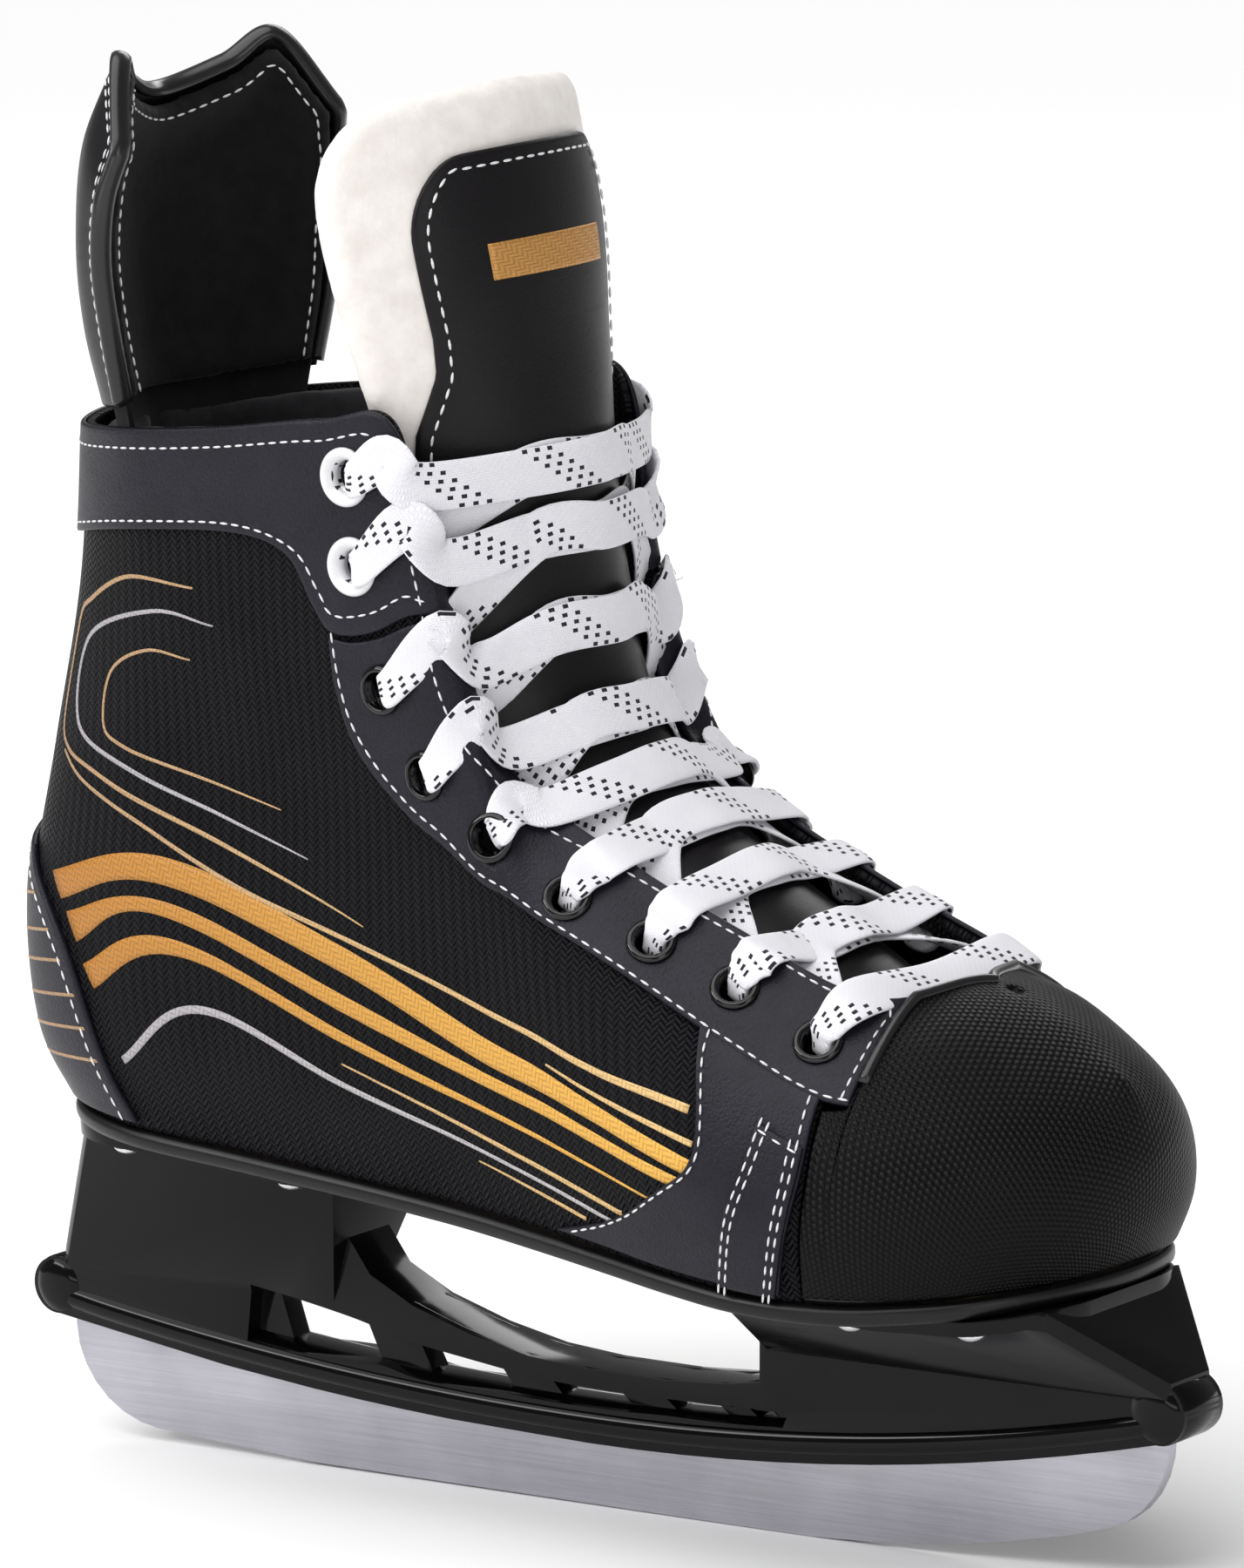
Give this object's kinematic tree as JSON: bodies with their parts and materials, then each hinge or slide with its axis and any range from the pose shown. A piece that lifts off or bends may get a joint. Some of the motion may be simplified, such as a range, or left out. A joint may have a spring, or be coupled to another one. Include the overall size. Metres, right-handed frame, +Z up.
{
  "type": "ice skate",
  "caption": "Lace-up hockey ice skate: woven and leather boot, felt tongue, tendon guard, moulded holder and steel blade, right foot.",
  "frame": {"origin": "on the ice, below the middle of the skate, at the centre of its box", "axes": "+X to the toe, +Y to the inner (big toe) side, +Z up"},
  "size_m": [0.2973, 0.1115, 0.303],
  "materials": {
    "blade_steel": "satin, ground along its length",
    "plated_steel": "zinc plated",
    "holder_plastic": "moulded, glossy",
    "sole_plastic": "moulded, matt",
    "fibre_board": "pressed fibre board",
    "padding_fabric": "brushed lining over foam",
    "woven_nylon": "twill weave with printed bands",
    "slate_leather": "synthetic leather, fine grain",
    "black_leather": "smooth synthetic leather",
    "toe_knit": "raised knit mesh",
    "white_enamel": "enamel on brass",
    "black_enamel": "glossy enamel on brass",
    "lace_weave": "flat weave with dark dashes",
    "white_felt": "thick wool felt",
    "bronze_print": "printed plain band",
    "velour_lining": "velour"
  },
  "bodies": {
    "root": {"blade_runner": "blade_steel", "blade_nuts": "plated_steel", "blade_holder": "holder_plastic", "sole_rivets_heel": "plated_steel", "sole_rivets_front": "plated_steel", "outsole": "sole_plastic", "insole_board": "fibre_board", "footbed": "padding_fabric", "heel_counter": "fibre_board", "quarter_near": "woven_nylon", "quarter_far": "woven_nylon", "ankle_padding_near": "padding_fabric", "ankle_padding_far": "padding_fabric", "cuff_near": "slate_leather", "cuff_far": "slate_leather", "eyestay_near": "slate_leather", "eyestay_far": "slate_leather", "vamp_overlay_near": "slate_leather", "vamp_overlay_far": "slate_leather", "side_tab_near": "slate_leather", "side_tab_far": "slate_leather", "heel_panel": "slate_leather", "toe_cap_shell": "sole_plastic", "toe_cap_cover": "toe_knit", "toe_lining": "padding_fabric", "eyelets_top_near": "white_enamel", "eyelets_top_far": "white_enamel", "eyelets_low_near": "black_enamel", "eyelets_low_far": "black_enamel", "lace": "lace_weave", "tongue_felt_lower": "white_felt", "tongue_facing_lower": "black_leather"},
    "tongue_flap": {"tongue_felt_upper": "white_felt", "tongue_facing_upper": "black_leather", "tongue_badge": "bronze_print"},
    "tendon_guard": {"tendon_guard_shell": "black_leather", "tendon_guard_lining": "velour_lining"}
  },
  "joints": [
    {"name": "tongue_fold", "type": "hinge", "parent": "root", "child": "tongue_flap", "pos_m": [0.0015, 0, 0.2435], "axis": [0, 1, 0], "range_deg": [0, 50], "stiffness_Nm_per_rad": 0.5},
    {"name": "guard_flex", "type": "hinge", "parent": "root", "child": "tendon_guard", "pos_m": [-0.1165, 0, 0.2282], "axis": [0, -1, 0], "range_deg": [0, 20], "stiffness_Nm_per_rad": 2}
  ]
}
